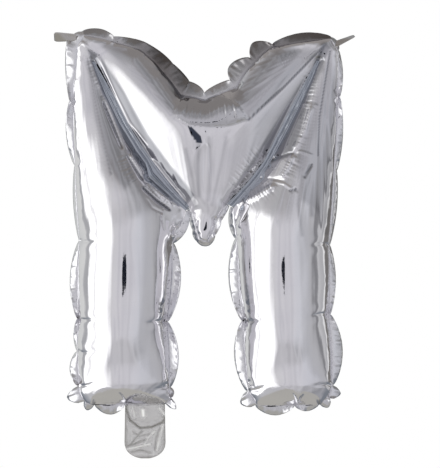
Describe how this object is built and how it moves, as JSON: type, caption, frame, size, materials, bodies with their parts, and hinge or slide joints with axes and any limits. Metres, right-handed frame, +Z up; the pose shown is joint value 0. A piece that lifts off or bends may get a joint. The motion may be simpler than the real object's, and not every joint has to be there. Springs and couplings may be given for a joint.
{
  "type": "letter foil balloon",
  "caption": "Air-filled metallic foil letter M with a scalloped seam flange, hanging tabs at its top corners and a clear filling tail under one leg.",
  "frame": {"origin": "middle of the letter, halfway between the two films, on the mount air", "axes": "+Z up along the legs, +X to the right as the letter is read, +Y from the front film to the back film"},
  "size_m": [0.2817, 0.0708, 0.4044],
  "materials": {
    "foil": "mirror-bright metallised film",
    "flange_foil": "bright metallised film, heat sealed",
    "tab_foil": "bright metallised film, heat sealed",
    "clear_film": "clear glossy film"
  },
  "bodies": {
    "balloon": {"front_panel": "foil", "back_panel": "foil", "seam_flange": "flange_foil"},
    "tail": {"tail_film_front": "clear_film", "tail_film_back": "clear_film"},
    "tab_left": {"hanging_tab_left": "tab_foil"},
    "tab_right": {"hanging_tab_right": "tab_foil"}
  },
  "joints": [
    {"name": "tail_fold", "type": "hinge", "parent": "balloon", "child": "tail", "pos_m": [-0.0545, 0, -0.17375], "axis": [1, 0, 0], "range_deg": [-90, 90]},
    {"name": "tab_left_fold", "type": "hinge", "parent": "balloon", "child": "tab_left", "pos_m": [-0.12186, 0, 0.17066], "axis": [0.419, 0, 0.908], "range_deg": [-90, 90]},
    {"name": "tab_right_fold", "type": "hinge", "parent": "balloon", "child": "tab_right", "pos_m": [0.12787, 0, 0.16816], "axis": [-0.4789, 0, 0.8779], "range_deg": [-90, 90]}
  ]
}
